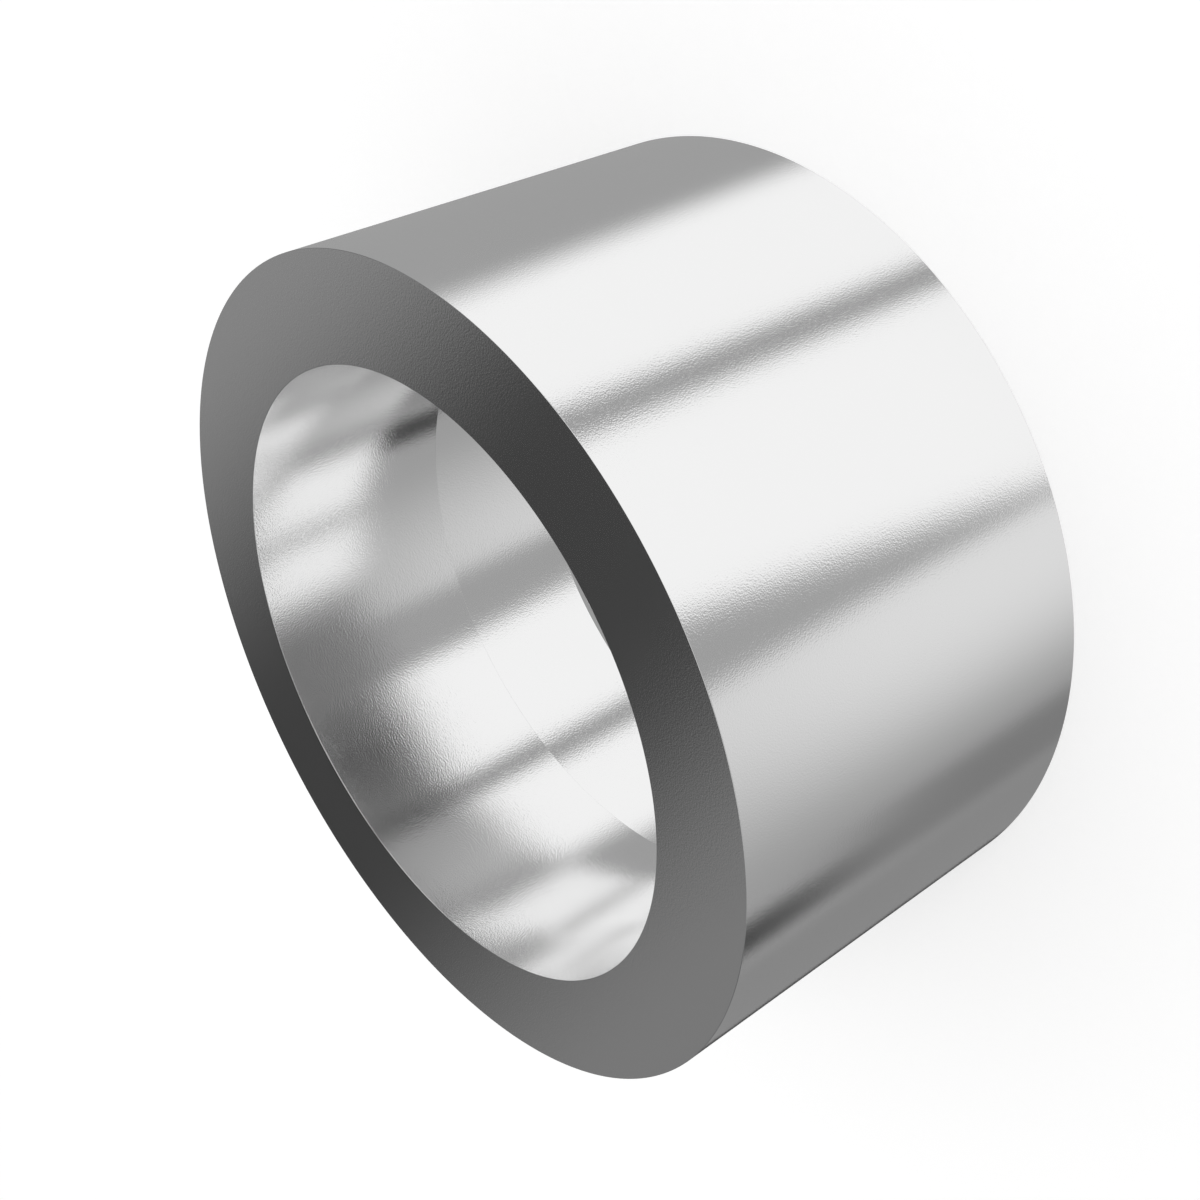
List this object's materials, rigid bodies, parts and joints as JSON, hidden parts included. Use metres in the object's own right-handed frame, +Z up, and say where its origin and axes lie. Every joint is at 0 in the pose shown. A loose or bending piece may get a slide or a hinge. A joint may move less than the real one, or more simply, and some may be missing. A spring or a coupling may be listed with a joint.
{
  "type": "bushing",
  "caption": "Plain cylindrical bushing of bright turned steel, a short thick-walled ring whose smooth bore is relieved by a shallow chamfered counterbore at one end.",
  "frame": {"origin": "on the axis, at the lower face, where the relieved end of the bore opens and on which the bushing stands", "axes": "+Z up the axis, from the relieved end to the plain end where the land of the bore begins; X and Y are any two directions across it, because the part is round"},
  "size_m": [0.024, 0.024, 0.0121],
  "materials": {
    "steel": "satin"
  },
  "bodies": {
    "root": {"bushing": "steel"}
  },
  "joints": []
}
